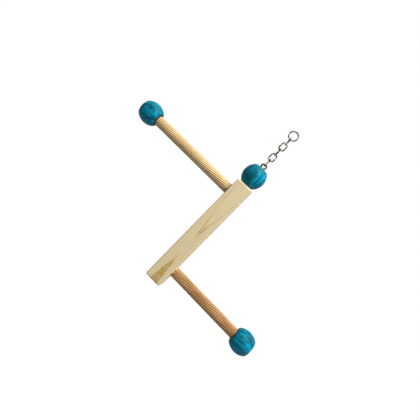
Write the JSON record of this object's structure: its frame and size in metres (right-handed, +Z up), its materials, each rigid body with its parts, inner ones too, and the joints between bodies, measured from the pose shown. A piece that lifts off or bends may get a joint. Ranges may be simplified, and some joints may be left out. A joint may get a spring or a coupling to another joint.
{
  "type": "bird swing",
  "caption": "Hanging stepped bird swing: a square wooden bar on a short chain, with a round fluted perch on each side at different heights, each tipped with a round bead.",
  "frame": {"origin": "top of the inside of the hanging ring, where the hook bears", "axes": "+Z up along the chain and the bar, X along the perches with the upper perch to -X, front faces -Y"},
  "size_m": [0.2537, 0.025, 0.2093],
  "materials": {
    "plated_steel": "bright nickel plate",
    "dyed_bead": "dyed, satin, grain showing",
    "pine_bar": "planed and sanded, unfinished",
    "fluted_dowel": "rolled flutes, unfinished"
  },
  "bodies": {
    "hanging_ring": {"hanging_ring": "plated_steel"},
    "chain_link_5": {"chain_link_5": "plated_steel"},
    "chain_link_4": {"chain_link_4": "plated_steel"},
    "chain_link_3": {"chain_link_3": "plated_steel"},
    "chain_link_2": {"chain_link_2": "plated_steel"},
    "chain_link_1": {"chain_link_1": "plated_steel"},
    "swing_bar": {"screw_eye": "plated_steel", "upright_bar": "pine_bar", "upper_perch": "fluted_dowel", "upper_perch_bead": "dyed_bead", "lower_perch": "fluted_dowel", "lower_perch_bead": "dyed_bead"},
    "top_bead": {"top_bead": "dyed_bead"}
  },
  "joints": [
    {"name": "chain_link_5_swing", "type": "hinge", "parent": "hanging_ring", "child": "chain_link_5", "pos_m": [0, 0, -0.00935], "axis": [1, 0, 0], "range_deg": [-50, 50]},
    {"name": "chain_link_4_swing", "type": "hinge", "parent": "chain_link_5", "child": "chain_link_4", "pos_m": [0, 0, -0.01658], "axis": [0, 1, 0], "range_deg": [-50, 50]},
    {"name": "chain_link_3_swing", "type": "hinge", "parent": "chain_link_4", "child": "chain_link_3", "pos_m": [0, 0, -0.02408], "axis": [1, 0, 0], "range_deg": [-50, 50]},
    {"name": "chain_link_2_swing", "type": "hinge", "parent": "chain_link_3", "child": "chain_link_2", "pos_m": [0, 0, -0.03158], "axis": [0, 1, 0], "range_deg": [-50, 50]},
    {"name": "chain_link_1_swing", "type": "hinge", "parent": "chain_link_2", "child": "chain_link_1", "pos_m": [0, 0, -0.03908], "axis": [1, 0, 0], "range_deg": [-50, 50]},
    {"name": "swing_bar_swing", "type": "hinge", "parent": "chain_link_1", "child": "swing_bar", "pos_m": [0, 0, -0.04658], "axis": [0, 1, 0], "range_deg": [-50, 50]},
    {"name": "top_bead_spin", "type": "hinge", "parent": "swing_bar", "child": "top_bead", "pos_m": [0, 0, -0.06158], "axis": [0, 0, 1], "continuous": true}
  ]
}
